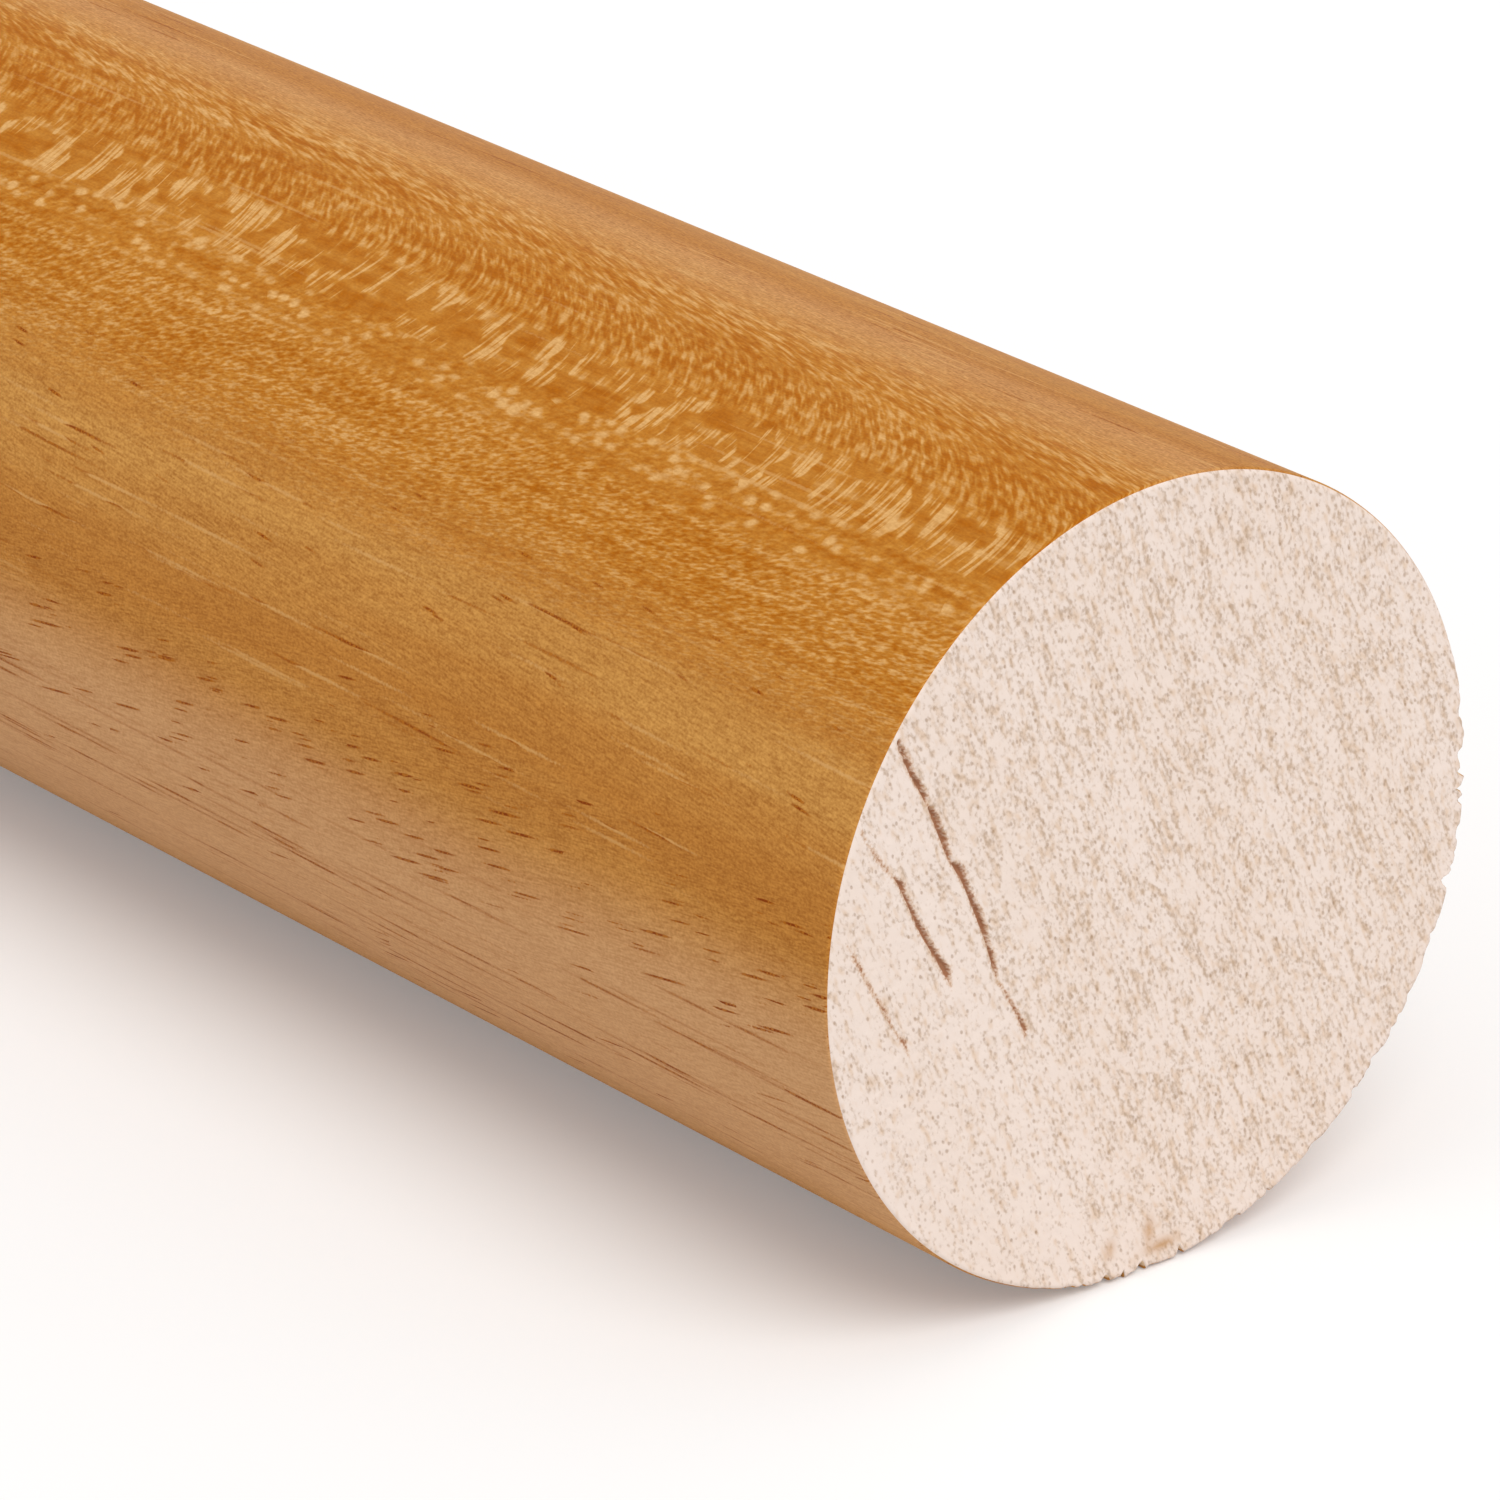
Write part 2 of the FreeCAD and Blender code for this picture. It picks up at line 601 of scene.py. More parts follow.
@dataclass(frozen=True)
class LacquerFinish:
    """Clear satin lacquer on the rail's round side, over flecked golden hardwood.

    Attributes:
        tan: Plain wood between growth bands.
        gold: Plain wood in a growth band.
        beige_and_painted_reflection: Plain wood where the side runs along the growth bands; its
        pale tone is partly painted reflection of the white floor that the lower side faces.
        ray: Rays cut along their length, orange under the lacquer.
        wood: Wood among the rays.
        fibre: Palest wood between the rays, and closed vessels.
        pore: Open pores, dark with lacquer.
        bare: Torn wood where the edge is chipped.
        roughness: Sheen of the lacquer.
        gloss: Strength of the lacquer's reflection, where 0.5 is plain glass.
        flecks: The ray flecks.
        fibres: The fine fibres.
        vessels: The vessels.
        face_zone: Where the side runs along the growth bands, along the rays in millimetres.
        strip_zones: Where a strip of that tone above the flecks begins and ends, likewise.
        calm: How much weaker the fibres are in the flecks and on the face.
        tints: How much the fibres change red and blue, where green is 1.
        closed_share: How far closed vessels cover the wood.
        opened_share: How far open ones do.
        splinters: Cell of the splinters in the chips.
        splinter_height: How much they change a chip's depth.
        splinter_edges: Edges of the bare wood.
        relief: Height of the fibres' relief.
        relief_share: How strongly it shows.
    """

    tan: Tone = Tone(193, 135, 66)
    gold: Tone = Tone(182, 118, 49)
    # Paler, greyer tan: partly the face grain's own tone, partly painted reflection of the white floor.
    beige_and_painted_reflection: Tone = Tone(205, 154, 105)
    ray: Tone = Tone(174, 98, 12)
    wood: Tone = Tone(192, 126, 46)
    fibre: Tone = Tone(217, 166, 102)
    pore: Tone = Tone(130, 50, 0)
    bare: Tone = Tone(230, 204, 172)
    roughness: float = 0.55
    gloss: float = 0.05
    flecks: RayFlecks = RayFlecks()
    fibres: FineFibres = FineFibres()
    vessels: Vessels = Vessels()
    face_zone: Grade = (19.5, 22.3)
    strip_zones: tuple[Grade, Grade] = ((7.0, 10.0), (14.5, 12.0, 0.0, 0.4))
    calm: float = 0.5
    tints: tuple[float, float] = (0.7, 1.4)
    closed_share: float = 0.7
    opened_share: float = 0.8
    splinters: Cell = (1.2, 0.2, 0.2)
    splinter_height: float = 0.6
    splinter_edges: Grade = (0.62, 0.78, 0.0, 0.9)
    relief: float = 0.02 * MM
    relief_share: float = 0.4

    def material(self, timber: Timber, grain_group: bpy.types.NodeTree) -> bpy.types.Material:
        """Makes the material of the rail's round side, which reads the mesh's chip marks.

        Args:
            timber: How the grain lies.
            grain_group: The group that finds a place in the timber.

        Returns:
            The material.
        """
        material, sheet, shader = start_material("lacquered_side")
        grain, bands = timber_place(sheet, grain_group)
        _, radial, _ = sheet.parts(grain)
        face = abs(radial).grade(*self.face_zone)
        first, second = (radial.grade(*zone) for zone in self.strip_zones)
        ground = sheet.mix(bands, self.tan, self.gold)
        # The beige tone laid on the face and on a strip above the flecks is partly painted reflection of
        # the white floor.
        ground = sheet.mix(face.most(first * second), ground, self.beige_and_painted_reflection)
        pale, shown = self.flecks.paint(sheet, timber, grain)
        colour = sheet.mix(shown, ground, sheet.ramp(pale, (self.ray, self.wood, self.fibre)))
        calm = shown.most(face) * self.calm
        shade = self.fibres.paint(sheet, timber, grain).blend(calm, 1.0)
        red, blue = ((shade - 1.0) * tint + 1.0 for tint in self.tints)
        colour = sheet.mix(1.0, colour, sheet.point(red, shade, blue), "MULTIPLY")
        opened, dark, closed = self.vessels.paint(sheet, timber, grain)
        colour = sheet.mix(closed * self.closed_share, colour, self.fibre)
        colour = sheet.mix(opened * self.opened_share, colour, self.ray)
        colour = sheet.mix(dark, colour, self.pore)
        splinters = sheet.noise(grain, self.splinters) * self.splinter_height + sheet.mark(Mark.CHIP)
        colour = sheet.mix(splinters.grade(*self.splinter_edges), colour, self.bare)
        sheet.feed(shader.inputs["Base Color"], colour)
        shader.inputs["Roughness"].default_value = self.roughness
        shader.inputs["Specular IOR Level"].default_value = self.gloss
        bump = {"Strength": self.relief_share, "Distance": self.relief, "Height": shade}
        sheet.feed(shader.inputs["Normal"], sheet.out("ShaderNodeBump", "Normal", bump))
        return material


@dataclass(frozen=True)
class EndSpeckle:
    """Speckle of sawn end grain: torn fibres, pores and soft clusters.

    Patches and rows add their shares to the crowding, which starts from the thinning, a grade of the
    distance along the rays. Edges and chances are grades too.
    """

    patches: Cell = (30.0, 1.5, 3.2)
    patch_share: float = 0.3
    rows: Cell = (30.0, 0.42, 2.2)
    row_share: float = 0.36
    thinning: Grade = (-17.0, -5.0, -0.37, -0.31)
    torn: Cell = (30.0, 0.25, 0.38)
    torn_edges: Grade = (0.46, 0.80)
    pores: Cell = (30.0, 0.32, 0.5)
    pore_edges: Grade = (0.36, 0.12)
    pore_chance: Grade = (0.72, 1.0)
    clusters: Cell = (30.0, 0.45, 0.9)
    cluster_edges: Grade = (0.44, 0.84)

    def paint(self, sheet: NodeSheet, grain: Signal) -> tuple[Signal, Signal, Signal]:
        """Adds the nodes of the speckle.

        Torn fibres are the peaks of ragged noise drawn out along the growth bands. They crowd
        where coarser noise is high, and thin out towards one side of the rail. Pores are a chosen
        few of small round cells, and clusters are the peaks of soft noise.

        Args:
            sheet: The material's nodes.
            grain: Place in the timber.

        Returns:
            How strong the torn fibres, the pores and the clusters are at each point, from 0 to 1.
        """
        _, radial, _ = sheet.parts(grain)
        patches = sheet.noise(grain, self.patches) * self.patch_share
        crowd = sheet.noise(grain, self.rows) * self.row_share + patches
        crowd = crowd + radial.grade(*self.thinning)
        torn = sheet.noise(grain, self.torn, detail=3.0) + crowd
        distance, chance, _ = sheet.cells(grain, self.pores)
        pores = distance.grade(*self.pore_edges) * chance.grade(*self.pore_chance)
        clusters = crowd + sheet.noise(grain, self.clusters)
        return torn.grade(*self.torn_edges), pores, clusters.grade(*self.cluster_edges)


@dataclass(frozen=True)
class EndGrainFinish:
    """Bare sawn end grain: pale, a little pink, speckled with fine open pores.

    Attributes:
        pale: Plain end grain.
        tan: Soft clusters of denser wood.
        torn: Torn fibres, in short dashes along the growth bands.
        pore: Open pores.
        split: Inside of a drying split, mostly painted shade of the deep narrow gap over the same end
            grain.
        stain: Smudges near the edge, and the lips of a split.
        roughness: Sheen of the bare wood.
        gloss: Strength of its reflection.
        speckle: The speckle.
        band_share: How far growth bands cover the plain wood.
        cluster_share: How far clusters do.
        torn_share: How far torn fibres do.
        pore_share: How far pores do.
        lips: Cell of the splits' ragged lips.
        lip_height: How far they move a split's edge.
        lip_edges: Edges of the lips.
        split_edges: Edges of the split itself.
        relief: Depth of the speckle's relief.
        relief_share: How strongly it shows.
    """

    pale: Tone = Tone(236, 219, 208)
    tan: Tone = Tone(224, 198, 176)
    torn: Tone = Tone(182, 154, 128)
    pore: Tone = Tone(156, 122, 92)
    # Dark brown that is mostly painted shade inside the splits, deeper than their shallow grooves cast.
    split: Tone = Tone(164, 112, 80)
    stain: Tone = Tone(200, 158, 118)
    roughness: float = 0.85
    gloss: float = 0.1
    speckle: EndSpeckle = EndSpeckle()
    band_share: float = 0.1
    cluster_share: float = 0.9
    torn_share: float = 0.75
    pore_share: float = 0.5
    lips: Cell = (30.0, 0.16, 0.2)
    lip_height: float = 0.3
    lip_edges: Grade = (0.38, 0.50, 0.0, 0.55)
    split_edges: Grade = (0.46, 0.56, 0.0, 0.95)
    relief: float = 0.05 * MM
    relief_share: float = 0.5

    def material(self, grain_group: bpy.types.NodeTree) -> bpy.types.Material:
        """Makes the material of the sawn ends, which reads the mesh's split and stain marks.

        Args:
            grain_group: The group that finds a place in the timber.

        Returns:
            The material.
        """
        material, sheet, shader = start_material("sawn_end_grain")
        grain, bands = timber_place(sheet, grain_group)
        torn, pores, clusters = self.speckle.paint(sheet, grain)
        tanned = bands * self.band_share + clusters * self.cluster_share
        colour = sheet.mix(tanned, self.pale, self.tan)
        colour = sheet.mix(torn * self.torn_share, colour, self.torn)
        colour = sheet.mix(pores * self.pore_share, colour, self.pore)
        colour = sheet.mix(sheet.mark(Mark.STAIN), colour, self.stain)
        ragged = sheet.noise(grain, self.lips, detail=2.0) - 0.5
        opening = ragged * self.lip_height + sheet.mark(Mark.SPLIT)
        colour = sheet.mix(opening.grade(*self.lip_edges), colour, self.stain)
        # Painted shade: the inside of each split is darkened as if in shadow, beyond what its shallow
        # groove casts.
        colour = sheet.mix(opening.grade(*self.split_edges), colour, self.split)
        sheet.feed(shader.inputs["Base Color"], colour)
        shader.inputs["Roughness"].default_value = self.roughness
        shader.inputs["Specular IOR Level"].default_value = self.gloss
        bump = {"Strength": self.relief_share, "Distance": self.relief, "Height": torn.most(pores)}
        sheet.feed(shader.inputs["Normal"], sheet.out("ShaderNodeBump", "Normal", bump, invert=True))
        return material


@dataclass(frozen=True)
class DryingSplit:
    """A split in a sawn end, running along a growth band. Lengths are shares of the rail's radius.

    Attributes:
        radial: Where its straight lip lies along the rays, at its start and at its finish.
        tangential: Where it starts and finishes along the growth band.
        width: Its opening where it is widest.
        depth: How deep it goes.
        fill: How unbroken it is, where 1 has no gaps.
        seed: Seed of its wavering.
        waver: How far its straight lip wavers.
        waver_cell: Distance in which that changes.
        uneven_cells: Distances in which its opening changes, coarse and fine.
        tip: Share of its length in which it closes at either end.
        walls: Results of opening between which its walls go down.
    """

    radial: tuple[float, float]
    tangential: tuple[float, float]
    width: float
    depth: float
    fill: float
    seed: int
    waver: float = 0.010
    waver_cell: float = 0.13
    uneven_cells: tuple[float, float] = (0.055, 0.022)
    tip: float = 0.06
    walls: tuple[float, float] = (0.48, 0.58)

    def opening(self, radial: Array, tangential: Array, reach: float) -> Array:
        """Returns how near points of the end are to the inside of the split.

        One lip runs from start to finish, wavering by slow noise. The other lip stands off it by
        the opening, which is the width times 0.4 of the fill plus 0.6 of quicker noise. Past the
        tips that falls below nothing. The result is the signed distance from the nearer lip.

        Args:
            radial: Place of each point along the rays, in radii.
            tangential: Place of each point along the growth bands, in radii.
            reach: Distance from a lip at which the result levels out.

        Returns:
            From 0, at the reach or more outside, through a half at a lip, to 1 well inside.
        """
        start, finish = self.tangential
        share = (tangential - start) / (finish - start)
        steady = np.zeros_like(tangential)
        waver = self.waver * lattice_noise(tangential, steady, self.waver_cell, self.seed)
        lip = self.radial[0] + (self.radial[1] - self.radial[0]) * share + waver
        coarse, fine = self.uneven_cells
        uneven = 0.6 * lattice_noise(tangential, steady, coarse, self.seed + 1)
        uneven += 0.4 * lattice_noise(tangential, steady, fine, self.seed + 2)
        past_tip = np.maximum(np.abs(share - 0.5) - (0.5 - self.tip), 0.0) / self.tip
        gap = self.width * (0.4 * self.fill + 0.6 * uneven - 0.5 * past_tip)
        inside = gap / 2 - np.abs(radial - lip - gap / 2)
        return np.clip(0.5 + inside / (2 * reach), 0.0, 1.0)


@dataclass(frozen=True)
class Stain:
    """A brown smudge on a sawn end, with its place and spread in radii along Y and up."""

    centre: tuple[float, float]
    spread: tuple[float, float]
    strength: float

    def mark(self, sideways: Array, upwards: Array) -> Array:
        """Returns how strong the smudge is at points of the end: a bell curve of the distance."""
        distance = ((sideways - self.centre[0]) / self.spread[0]) ** 2
        distance = distance + ((upwards - self.centre[1]) / self.spread[1]) ** 2
        return self.strength * np.exp(-distance)


@dataclass(frozen=True)
class RimChips:
    """Chips that the saw tore from a sawn end's edge: notches, some deep, on a fine crumbling.

    A chip fades to a third in the length along the side. The other sizes are degrees round the rim:
    the middle of the chipped stretch, from +Y towards +Z, the window on either side in which chips
    die out, and the cells of the noises, which the edges grade.
    """

    depth: float = 0.7 * MM
    length: float = 1.3 * MM
    middle: float = -45.0
    window: tuple[float, float] = (44.0, 72.0)
    notch_cell: float = 2.1
    notch_width: float = 0.34
    depth_cell: float = 4.0
    depth_edges: tuple[float, float] = (-0.6, 0.7)
    crumb_cell: float = 1.1
    crumb_edges: tuple[float, float] = (-0.2, 1.0)
    crumb_share: float = 0.32
    seed: int = 5

    def depths(self, angles: Array, rays: float) -> Array:
        """Returns how deep the edge is chipped at each angle round the rim.

        Notches are narrow, where slow noise crosses nothing, and slower noise makes some of them deep
        and some shallow. All chips lie within a window that opens and closes smoothly.

        Args:
            angles: Angles from the rays, in radians.
            rays: Angle of the rays from +Y, in radians.

        Returns:
            The depths.
        """
        degrees = np.degrees(angles)
        steady = np.zeros_like(angles)
        turned = degrees + math.degrees(rays) - self.middle
        window = 1 - smooth_step(np.abs((turned + 180.0) % 360.0 - 180.0), *self.window)
        notches = np.abs(lattice_noise(degrees, steady, self.notch_cell, self.seed))
        notches = np.maximum(1 - notches / self.notch_width, 0.0)
        deep = lattice_noise(degrees, steady, self.depth_cell, self.seed + 1)
        notches *= smooth_step(deep, *self.depth_edges)
        crumbs = lattice_noise(degrees, steady, self.crumb_cell, self.seed + 2)
        crumbs = self.crumb_share * smooth_step(crumbs, *self.crumb_edges)
        return self.depth * window * np.maximum(notches, crumbs)


SPLITS = (
    DryingSplit((-0.470, -0.478), (0.87, 0.14), 0.019, 0.012, 1.5, 14),
    DryingSplit((-0.478, -0.470), (0.12, -0.07), 0.017, 0.008, 0.9, 19),
    DryingSplit((-0.622, -0.600), (0.56, 0.22), 0.018, 0.010, 1.3, 23),
    DryingSplit((-0.650, -0.628), (0.80, 0.58), 0.016, 0.004, 0.1, 29),
    DryingSplit((-0.795, -0.770), (0.50, 0.14), 0.016, 0.004, 0.2, 37),
)
SPLIT_REACH = 0.04
STAINS = (
    Stain((0.040, -0.943), (0.045, 0.016), 1.0),
    Stain((0.000, -0.895), (0.016, 0.036), 0.8),
    Stain((-0.124, -0.905), (0.018, 0.026), 0.6),
)


@dataclass
class RailMesh:
    """Vertices, faces and marks of the rail while they are put together.

    Attributes:
        points: Blocks of vertex places.
        marks: Blocks of each mark's strength, one value a vertex.
        faces: Blocks of faces, each with three or four columns, and their skin.
        count: Number of vertices so far.
    """

    points: list[Array] = field(default_factory=list)
    marks: dict[Mark, list[Array]] = field(default_factory=lambda: {mark: [] for mark in Mark})
    faces: list[tuple[Array, RailSkin]] = field(default_factory=list)
    count: int = 0

    def add_points(self, points: Array, marks: dict[Mark, Array]) -> Array:
        """Adds a grid of vertices.

        Args:
            points: Places, in an array whose last axis is X, Y, Z.
            marks: Strength at each vertex of the marks that it has.

        Returns:
            The numbers of the new vertices, in the grid's shape.
        """
        shape = points.shape[:-1]
        unmarked = np.zeros(shape)
        self.points.append(points.reshape(-1, 3))
        for mark, blocks in self.marks.items():
            blocks.append(marks.get(mark, unmarked).ravel())
        numbers = self.count + np.arange(unmarked.size).reshape(shape)
        self.count += unmarked.size
        return numbers

    def add_faces(self, corners: tuple[Array, ...], skin: RailSkin, flip: bool = False) -> None:
        """Adds faces.

        Args:
            corners: Vertex numbers of each face's first corner, second corner and so on.
            skin: The surface that they belong to.
            flip: Whether the corners are taken in the other order.
        """
        block = np.stack([corner.ravel() for corner in corners], axis=1)
        self.faces.append((block[:, ::-1] if flip else block, skin))

    def to_object(self, name: str) -> bpy.types.Object:
        """Makes the mesh object, with its marks, its skins and smooth shading.

        Args:
            name: Name of the object.

        Returns:
            The object, linked to the scene.
        """
        mesh = bpy.data.meshes.new(name)
        faces = [face for block, _ in self.faces for face in block.tolist()]
        mesh.from_pydata(np.concatenate(self.points).tolist(), [], faces)
        skins = np.concatenate([np.full(len(block), skin.value) for block, skin in self.faces])
        mesh.polygons.foreach_set("material_index", skins.astype(np.int32))
        mesh.polygons.foreach_set("use_smooth", np.ones(len(skins), dtype=bool))
        for mark, blocks in self.marks.items():
            attribute = mesh.attributes.new(mark.value, "FLOAT", "POINT")
            attribute.data.foreach_set("value", np.concatenate(blocks).astype(np.float32))
        mesh.update()
        piece = bpy.data.objects.new(name, mesh)
        bpy.context.scene.collection.objects.link(piece)
        return piece


@dataclass
class RoundHandrail:
    """The rail: a round side, two sawn ends and the eased edge between them.

    Attributes:
        node: The CAD node that it stands for.
        length: From one sawn end to the other.
        radius: Of the round section.
        timber: How the grain lies.
        arris: Radius of the eased edge round each end.
        chords: Number of strips that an end is divided into, across the rays.
        strip_points: Number of steps along a strip, at each end.
        split_band: Angles from the rays between which an end's strips are close together.
        split_density: How much closer they are there.
        split_soft: Angle in which they draw together on either side.
        arris_steps: Number of steps round the eased edge.
        border_rows: Distances from the rim of the rings on each sawn face, in millimetres.
        side_rows: Distances from each end of the rings along the side, in millimetres.
        chips: Chips in the photographed end's edge.
        saw_relief: Height of the sawn surface's unevenness.
        saw_cells: Sizes of that unevenness, coarse and fine, in radii.
        saw_share: Height of the fine one, as a share of the coarse one's.
        saw_seed: Seed of the coarse one.
        saw_fade: Distance from the rim in which it sets in, in radii.
    """

    node: str
    length: float
    radius: float
    timber: Timber
    arris: float = 0.3 * MM
    chords: int = 420
    strip_points: dict[RailEnd, int] = field(
        default_factory=lambda: {RailEnd.PHOTOGRAPHED: 145, RailEnd.HIDDEN: 32}
    )
    split_band: tuple[float, float] = (math.radians(112.0), math.radians(146.0))
    split_density: float = 2.0
    split_soft: float = math.radians(6.0)
    arris_steps: int = 4
    border_rows: dict[RailEnd, tuple[float, ...]] = field(
        default_factory=lambda: {RailEnd.PHOTOGRAPHED: (0.1, 0.25, 0.5, 0.9, 1.4), RailEnd.HIDDEN: (1.4,)}
    )
    side_rows: dict[RailEnd, tuple[float, ...]] = field(
        default_factory=lambda: {
            RailEnd.PHOTOGRAPHED: (0.15, 0.4, 0.8, 1.4, 2.2, 3.5, 8, 40, 200),
            RailEnd.HIDDEN: (1, 8, 40, 200),
        }
    )
    chips: RimChips = RimChips()
    saw_relief: float = 0.025 * MM
    saw_cells: tuple[float, float] = (0.02, 0.008)
    saw_share: float = 0.6
    saw_seed: int = 71
    saw_fade: float = 0.02

    @classmethod
    def on_node(cls, node: str, timber: Timber) -> "RoundHandrail":
        """Returns a rail of the size of a CAD node that lies along X."""
        low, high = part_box(node)
        return cls(node, high.x - low.x, (high.z - low.z) / 2, timber)

    def chord_angles(self) -> Array:
        """Returns the angles, from the rays, at which an end's strips meet its rim.

        They run from 0 to pi, and in the split band they are closer by the split density.
        """
        even = np.linspace(0.0, math.pi, FINE_STEPS + 1)
        first, last = self.split_band
        inside = smooth_step(even, first - self.split_soft, first)
        inside *= 1 - smooth_step(even, last, last + self.split_soft)
        travel = np.cumsum(1 + (self.split_density - 1) * inside)
        travel = (travel - travel[0]) / (travel[-1] - travel[0])
        return np.interp(np.linspace(0.0, 1.0, self.chords + 1), travel, even)

    def rim_angles(self) -> Array:
        """Returns the angles from the rays of every vertex round the rail, once round."""
        half = self.chord_angles()
        return np.concatenate([half, 2 * math.pi - half[-2:0:-1]])

    def chip_depths(self, end: RailEnd, angles: Array) -> Array:
        """Returns how deep an end's edge is chipped at each angle, which is nothing on the hidden one."""
        if end is RailEnd.HIDDEN:
            return np.zeros_like(angles)
        return self.chips.depths(angles, self.timber.radial_angle)

    def ring_points(self, along: Array, radii: Array, angles: Array) -> Array:
        """Returns rings of vertices round the axis: the radius turned through the angles."""
        sideways, upwards = self.timber.section_point(np.cos(angles), np.sin(angles))
        level = np.broadcast_to(along, np.broadcast_shapes(along.shape, radii.shape))
        places = np.broadcast_arrays(level + 0 * angles, radii * sideways, self.radius + radii * upwards)
        return np.stack(places, axis=-1)

    def build_side(self, mesh: RailMesh, angles: Array) -> dict[RailEnd, Array]:
        """Adds the round side and both eased edges.

        The eased edge is a quarter circle from the sawn face round to the side, and its outer half
        is sawn wood. Chips lower it, fade out along the side and are marked there.

        Args:
            mesh: The mesh to add to.
            angles: Angles round the rim.

        Returns:
            The numbers of the ring of vertices where each sawn face begins.
        """
        turn = np.linspace(0.0, math.pi / 2, self.arris_steps + 1)
        points, chipped = [], []
        for end in RailEnd:
            straight = np.array(self.side_rows[end]) * MM
            inset = np.concatenate([self.arris * (1 - np.cos(turn)), self.arris + straight])[:, None]
            lower = np.concatenate([self.arris * (1 - np.sin(turn)), 0 * straight])[:, None]
            chip = self.chip_depths(end, angles) * np.exp(-inset / self.chips.length)
            along = end.value * (self.length / 2 - inset)
            points.append(self.ring_points(along, self.radius - lower - chip, angles)[:: end.value])
            chipped.append(chip[:: end.value] / self.chips.depth)
        rows = mesh.add_points(np.concatenate(points), {Mark.CHIP: np.concatenate(chipped)})
        onward = np.roll(rows, -1, axis=1)
        corners = (rows[:-1], rows[1:], onward[1:], onward[:-1])
        edge = self.arris_steps // 2
        for part, skin in (
            (slice(None, edge), RailSkin.SAWN),
            (slice(edge, -edge), RailSkin.LACQUERED),
            (slice(-edge, None), RailSkin.SAWN),
        ):
            mesh.add_faces(tuple(corner[part] for corner in corners), skin)
        return {RailEnd.PHOTOGRAPHED: rows[0], RailEnd.HIDDEN: rows[-1]}

    def add_sawn_points(self, mesh: RailMesh, end: RailEnd, radial: Array, tangential: Array) -> Array:
        """Adds vertices of a sawn end.

        Noise sinks the sawn surface a little, less towards the rim. On the photographed end the
        splits are grooves, and splits and stains are marked.

        Args:
            mesh: The mesh to add to.
            end: Which end.
            radial: Place of each vertex along the rays, in radii.
            tangential: Place of each vertex along the growth bands, in radii.

        Returns:
            The numbers of the vertices.
        """
        sideways, upwards = self.timber.section_point(radial, tangential)
        inward = 1 - self.arris / self.radius - np.hypot(radial, tangential)
        coarse, fine = self.saw_cells
        uneven = 1 + lattice_noise(radial, tangential, coarse, self.saw_seed)
        uneven += self.saw_share * lattice_noise(radial, tangential, fine, self.saw_seed + 1)
        sunk = self.saw_relief * np.maximum(uneven, 0.0) * smooth_step(inward, 0.0, self.saw_fade)
        split = np.zeros_like(radial)
        stain = np.zeros_like(radial)
        if end is RailEnd.PHOTOGRAPHED:
            for groove in SPLITS:
                opening = groove.opening(radial, tangential, SPLIT_REACH)
                sunk = sunk + groove.depth * self.radius * smooth_step(opening, *groove.walls)
                split = np.maximum(split, opening)
            for smudge in STAINS:
                stain = np.maximum(stain, smudge.mark(sideways, upwards))
        along = end.value * (self.length / 2 - sunk)
        places = (along, self.radius * sideways, self.radius * (1 + upwards))
        return mesh.add_points(np.stack(places, axis=-1), {Mark.SPLIT: split, Mark.STAIN: stain})

    def build_end(self, mesh: RailMesh, end: RailEnd, rim: Array) -> None:
        """Adds a sawn end: rings along its rim, which chips draw inwards, and strips inside them.

        Args:
            mesh: The mesh to add to.
            end: Which end.
            rim: Numbers of the vertices round the face's rim.
        """
        angles = self.rim_angles()
        inset = np.array(self.border_rows[end])[:, None] * MM
        drawn = self.chip_depths(end, angles) * (1 - inset / inset[-1]) ** 2
        radii = 1 - (self.arris + inset + drawn) / self.radius
        rings = self.add_sawn_points(mesh, end, radii * np.cos(angles), radii * np.sin(angles))
        rings = np.concatenate([rim[None], rings])
        onward = np.roll(rings, -1, axis=1)
        corners = (rings[:-1], onward[:-1], onward[1:], rings[1:])
        mesh.add_faces(corners, RailSkin.SAWN, end is RailEnd.HIDDEN)
        self.build_strips(mesh, end, rings[-1], float(radii[-1, 0]))

    def build_strips(self, mesh: RailMesh, end: RailEnd, ring: Array, reach: float) -> None:
        """Adds a sawn end's strips along the growth bands, from one side of a ring to the other.

        A vertex is at reach cos(angle) along the rays, and its strip's half length, reach
        sin(angle), is divided evenly.

        Args:
            mesh: The mesh to add to.
            end: Which end.
            ring: Numbers of the vertices round the strips.
            reach: Radius of the ring, in radii.
        """
        steps = self.strip_points[end]
        angles = self.chord_angles()[1:-1, None]
        share = np.linspace(-1.0, 1.0, steps + 1)[None, 1:-1]
        radial = reach * np.cos(angles) + 0 * share
        half = self.chords
        grid = np.empty((half + 1, steps + 1), dtype=int)
        grid[0], grid[half] = ring[0], ring[half]
        grid[1:half, steps] = ring[1:half]
        grid[1:half, 0] = ring[:half:-1]
        grid[1:half, 1:steps] = self.add_sawn_points(mesh, end, radial, reach * np.sin(angles) * share)
        flip = end is RailEnd.HIDDEN
        low, high = grid[1:-2], grid[2:-1]
        mesh.add_faces((low[:, :-1], low[:, 1:], high[:, 1:], high[:, :-1]), RailSkin.SAWN, flip)
        mesh.add_faces((grid[0, 1:], grid[1, 1:], grid[1, :-1]), RailSkin.SAWN, flip)
        mesh.add_faces((grid[half, 1:], grid[half - 1, :-1], grid[half - 1, 1:]), RailSkin.SAWN, flip)

    def build(self) -> bpy.types.Object:
        """Builds the rail's mesh and returns its object."""
        mesh = RailMesh()
        rims = self.build_side(mesh, self.rim_angles())
        for end, rim in rims.items():
            self.build_end(mesh, end, rim)
        return mesh.to_object("handrail_length")

    def dress(self, piece: bpy.types.Object) -> None:
        """Gives the rail its two finishes and ties it to the CAD rail."""
        grain_group = self.timber.grain_group(self.length, self.radius)
        piece.data.materials.append(LacquerFinish().material(self.timber, grain_group))
        piece.data.materials.append(EndGrainFinish().material(grain_group))
        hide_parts(self.node)
        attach(piece, "root")


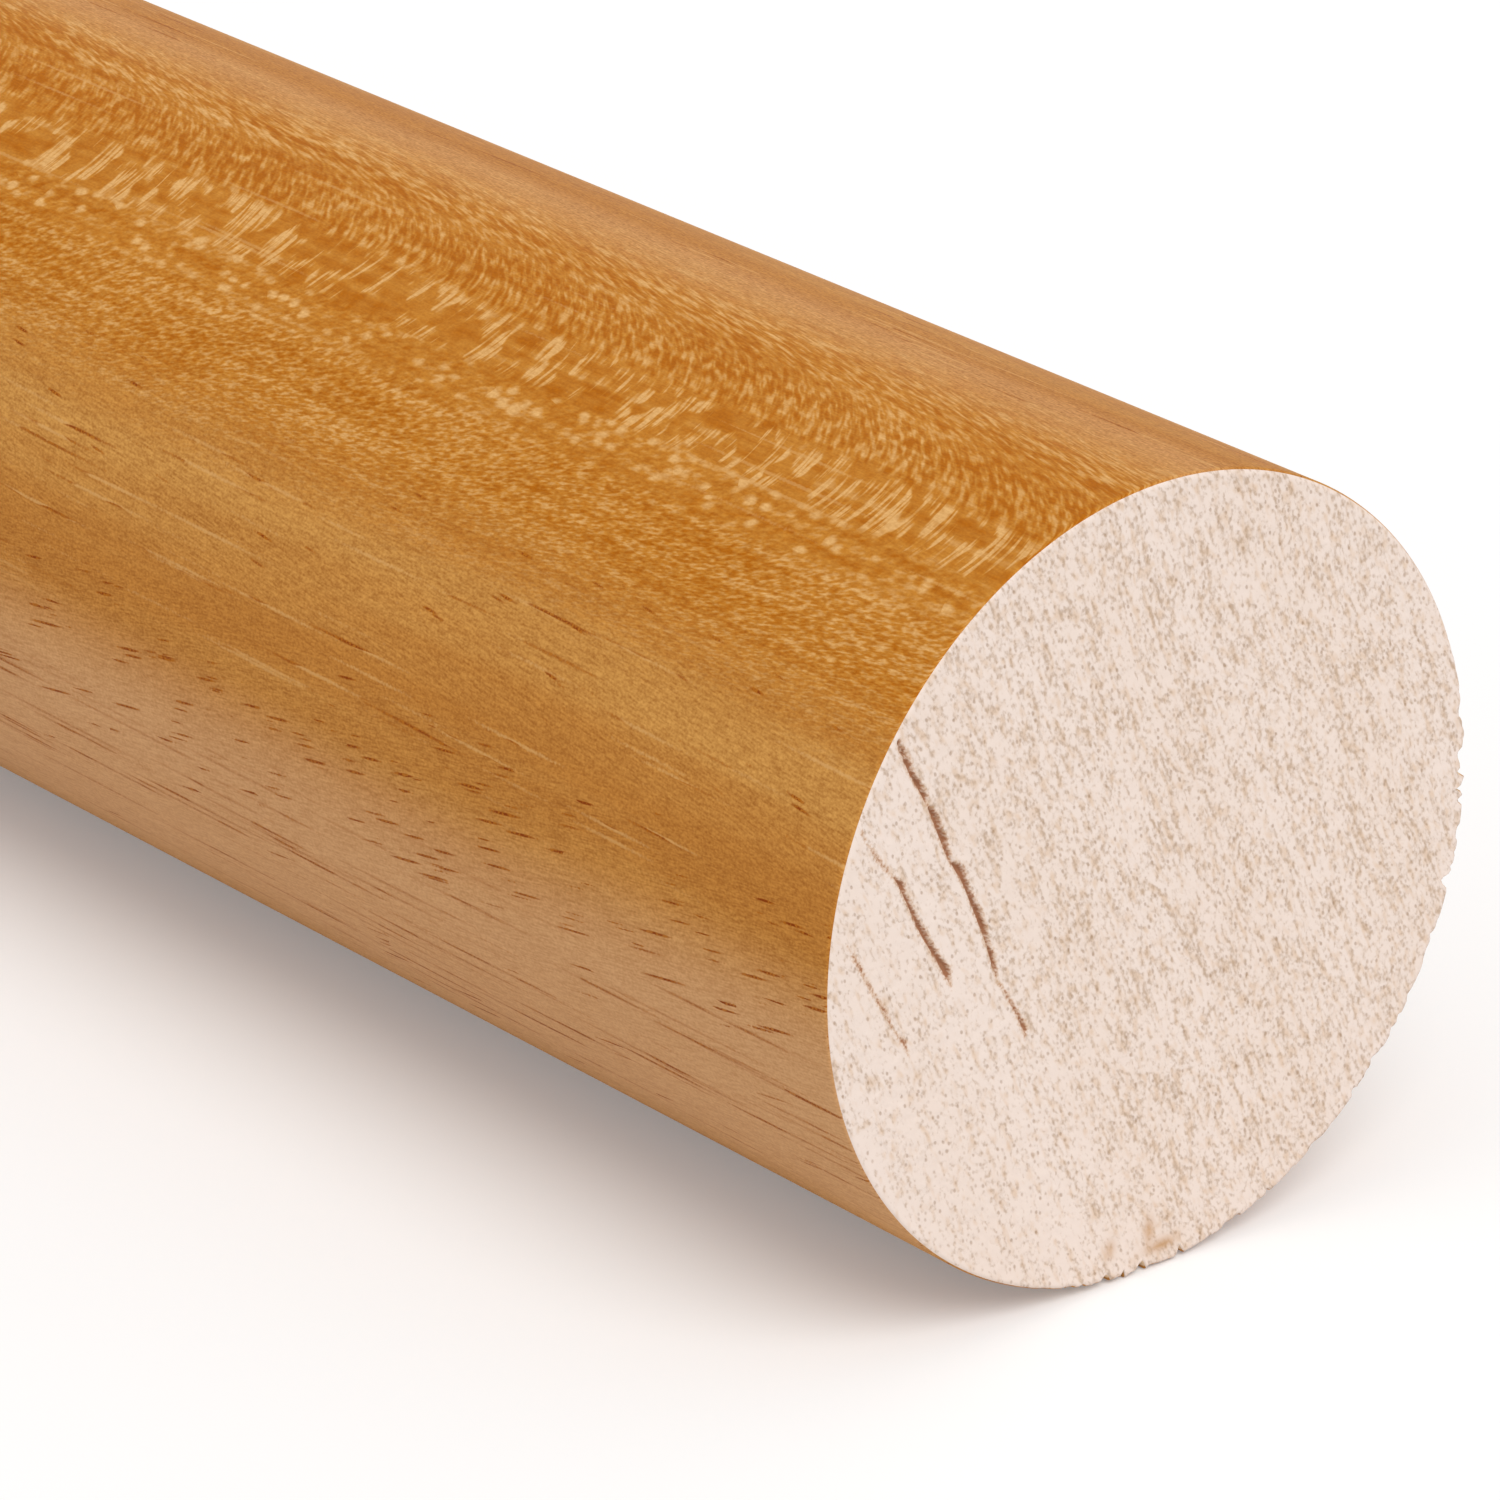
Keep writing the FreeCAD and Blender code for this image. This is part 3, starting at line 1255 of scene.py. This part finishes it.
@dataclass(frozen=True)
class Studio:
    """A white floor under soft, plain light.

    Attributes:
        floor_span: Side of the square floor.
        floor_tone: Brightness of the floor's own colour.
        floor_glow: Light that the floor adds where it is looked at, so that it shows white.
        sky: Strength of the even light from all round.
        key: Strength of the broad lamp.
        key_from: Direction that the lamp's light comes from.
        key_angle: How broad the lamp is in the sky.
    """

    floor_span: float = 40.0
    floor_tone: float = 0.8
    floor_glow: float = 0.2
    sky: float = 0.65
    key: float = 1.57
    key_from: tuple[float, float, float] = (0.62, -0.15, 0.77)
    key_angle: float = math.radians(40.0)

    def looked_at(self, sheet: NodeSheet) -> Signal:
        """Returns 1 for rays from the camera, a gloss or a clear body, and 0 for the rest."""
        rays = sheet.add("ShaderNodeLightPath", {})
        camera = Signal(sheet, rays.outputs["Is Camera Ray"])
        return camera.most(rays.outputs["Is Glossy Ray"]).most(rays.outputs["Is Transmission Ray"])

    def build_floor(self) -> None:
        """Lays the floor, which shows from above and is clear from below."""
        material, sheet, shader = start_material("white_floor")
        shader.inputs["Base Color"].default_value = (*[self.floor_tone] * 3, 1.0)
        shader.inputs["Roughness"].default_value = 1.0
        shader.inputs["Specular IOR Level"].default_value = 0.0
        shader.inputs["Emission Color"].default_value = WHITE
        sheet.feed(shader.inputs["Emission Strength"], self.looked_at(sheet) * self.floor_glow)
        below = sheet.out("ShaderNodeNewGeometry", "Backfacing", {})
        clear = sheet.out("ShaderNodeBsdfTransparent", "BSDF", {})
        choice = {0: below, 1: shader.outputs["BSDF"], 2: clear}
        surface = material.node_tree.nodes["Material Output"].inputs["Surface"]
        sheet.feed(surface, sheet.out("ShaderNodeMixShader", "Shader", choice))
        half = self.floor_span / 2
        mesh = bpy.data.meshes.new("floor")
        corners = [(-half, -half, 0.0), (half, -half, 0.0), (half, half, 0.0), (-half, half, 0.0)]
        mesh.from_pydata(corners, [], [(0, 1, 2, 3)])
        mesh.materials.append(material)
        floor = bpy.data.objects.new("floor", mesh)
        bpy.context.scene.collection.objects.link(floor)

    def build_light(self) -> None:
        """Hangs the lamp and sets the even light, which shows white where it is looked at."""
        lamp = bpy.data.lights.new("key_lamp", "SUN")
        lamp.energy = self.key
        lamp.angle = self.key_angle
        hung = bpy.data.objects.new("key_lamp", lamp)
        hung.rotation_euler = Vector(self.key_from).to_track_quat("Z", "Y").to_euler()
        bpy.context.scene.collection.objects.link(hung)
        world = bpy.data.worlds.new("even_light")
        world.use_nodes = True
        sheet = NodeSheet(world.node_tree)
        background = world.node_tree.nodes["Background"]
        background.inputs["Color"].default_value = WHITE
        sheet.feed(background.inputs["Strength"], self.looked_at(sheet) * (1 - self.sky) + self.sky)
        bpy.context.scene.world = world


@dataclass(frozen=True)
class PhotoCamera:
    """The photograph's view: close to one sawn end, looking down along the rail.

    Attributes:
        stand: Where the camera is, in rail radii from the middle of the photographed end.
        look_at: The point that it looks at, in the same measure.
        lens: Focal length, in millimetres.
        sensor: Width of the film, in millimetres.
        clip: Nearest and farthest distance that it shows.
    """

    stand: tuple[float, float, float] = (13.2276, -12.3455, 8.1762)
    look_at: tuple[float, float, float] = (-0.817, -0.539, 0.216)
    lens: float = 206.12
    sensor: float = 36.0
    clip: tuple[float, float] = (0.01, 100.0)

    def place(self, rail: RoundHandrail) -> None:
        """Sets the camera up before the photographed end of a rail."""
        end = Vector((rail.length / 2, 0.0, rail.radius))
        camera = bpy.data.cameras.new("photo_camera")
        camera.lens = self.lens
        camera.sensor_width = self.sensor
        camera.clip_start, camera.clip_end = self.clip
        holder = bpy.data.objects.new("photo_camera", camera)
        holder.location = end + rail.radius * Vector(self.stand)
        gaze = Vector(self.look_at) - Vector(self.stand)
        holder.rotation_euler = gaze.to_track_quat("-Z", "Y").to_euler()
        bpy.context.scene.collection.objects.link(holder)
        bpy.context.scene.camera = holder


def main() -> None:
    logging.basicConfig(level=logging.INFO, format="%(name)s: %(message)s")
    bpy.context.scene.view_settings.view_transform = "Standard"
    rail = RoundHandrail.on_node("round_handrail", Timber())
    piece = rail.build()
    rail.dress(piece)
    LOG.info("%s: %d faces", piece.name, len(piece.data.polygons))
    studio = Studio()
    studio.build_floor()
    studio.build_light()
    PhotoCamera().place(rail)
    LOG.info("studio and camera are in place")


if __name__ == "__main__":
    main()
